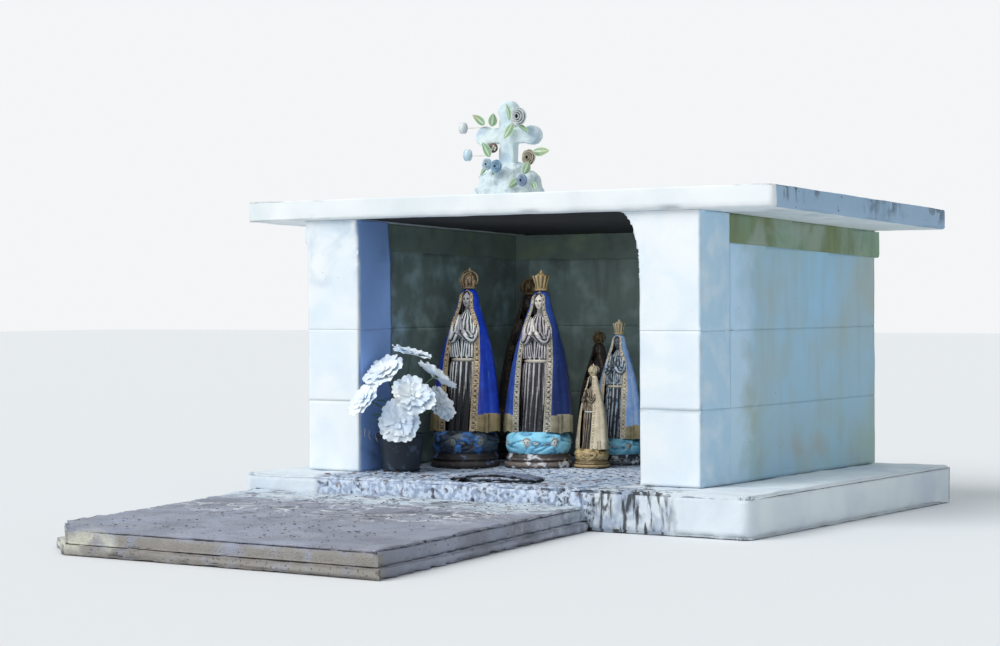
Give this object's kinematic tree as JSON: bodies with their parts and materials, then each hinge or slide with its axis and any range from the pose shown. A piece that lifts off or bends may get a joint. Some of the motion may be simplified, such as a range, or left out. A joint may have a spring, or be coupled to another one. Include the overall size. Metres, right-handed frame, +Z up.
{
  "type": "wayside shrine",
  "caption": "Low white-washed concrete niche shrine with a thin overhanging roof slab, small cross, front platform and robed plaster figures inside.",
  "frame": {"origin": "on the ground, midway between the two front piers, in the plane of their front faces", "axes": "+Z up, -Y out of the niche towards the viewer, +X to the right seen from the front"},
  "size_m": [1.7076, 2.344, 1.1482],
  "materials": {
    "beam_render": "weathered lime-washed concrete",
    "charred_wood": "burnt, cracked wood",
    "cloud_plaster": "light blue painted plaster, dirty",
    "cross_plaster": "smooth painted plaster",
    "crown_plaster": "aged gold paint on plaster",
    "figure_plaster": "gloss-painted plaster, blue mantle and dark robe",
    "footing_render": "lime-washed concrete, sooty inside",
    "mound_plaster": "rough painted plaster",
    "painted_roses": "painted small roses and leaves",
    "petal_fabric": "white ruffled artificial petals",
    "pier_render": "lime-washed block with thin joints",
    "platform_concrete": "worn dark concrete with moss and wax",
    "pot_filling": "dark foam",
    "pot_plastic": "black moulded plastic",
    "roof_render": "lime-washed concrete with black drips",
    "wall_render": "pale blue-grey lime wash, sooty inside"
  },
  "bodies": {
    "root": {"back_beam": "beam_render", "back_wall_lower": "wall_render", "back_wall_middle": "wall_render", "back_wall_upper": "wall_render", "charred_board": "charred_wood", "cross_mound": "mound_plaster", "cross_roses": "painted_roses", "flower_pot": "pot_plastic", "foundation_slab": "footing_render", "front_platform": "platform_concrete", "left_beam": "beam_render", "left_pier_lower": "pier_render", "left_pier_middle": "pier_render", "left_pier_upper": "pier_render", "left_wall_lower": "wall_render", "left_wall_middle": "wall_render", "left_wall_upper": "wall_render", "mid_back_base": "cloud_plaster", "mid_back_crown": "crown_plaster", "mid_back_figure": "figure_plaster", "mid_right_base": "cloud_plaster", "mid_right_crown": "crown_plaster", "mid_right_figure": "figure_plaster", "platform_base": "platform_concrete", "pot_filling": "pot_filling", "right_beam": "beam_render", "right_pier_lower": "pier_render", "right_pier_middle": "pier_render", "right_pier_upper": "pier_render", "right_wall_lower": "wall_render", "right_wall_middle": "wall_render", "right_wall_upper": "wall_render", "roof_cross": "cross_plaster", "roof_slab": "roof_render", "small_front_base": "cloud_plaster", "small_front_crown": "crown_plaster", "small_front_figure": "figure_plaster", "tall_back_base": "cloud_plaster", "tall_back_crown": "crown_plaster", "tall_back_figure": "figure_plaster", "tall_left_base": "cloud_plaster", "tall_left_crown": "crown_plaster", "tall_left_figure": "figure_plaster", "tall_right_base": "cloud_plaster", "tall_right_crown": "crown_plaster", "tall_right_figure": "figure_plaster", "white_flowers": "petal_fabric"}
  },
  "joints": []
}
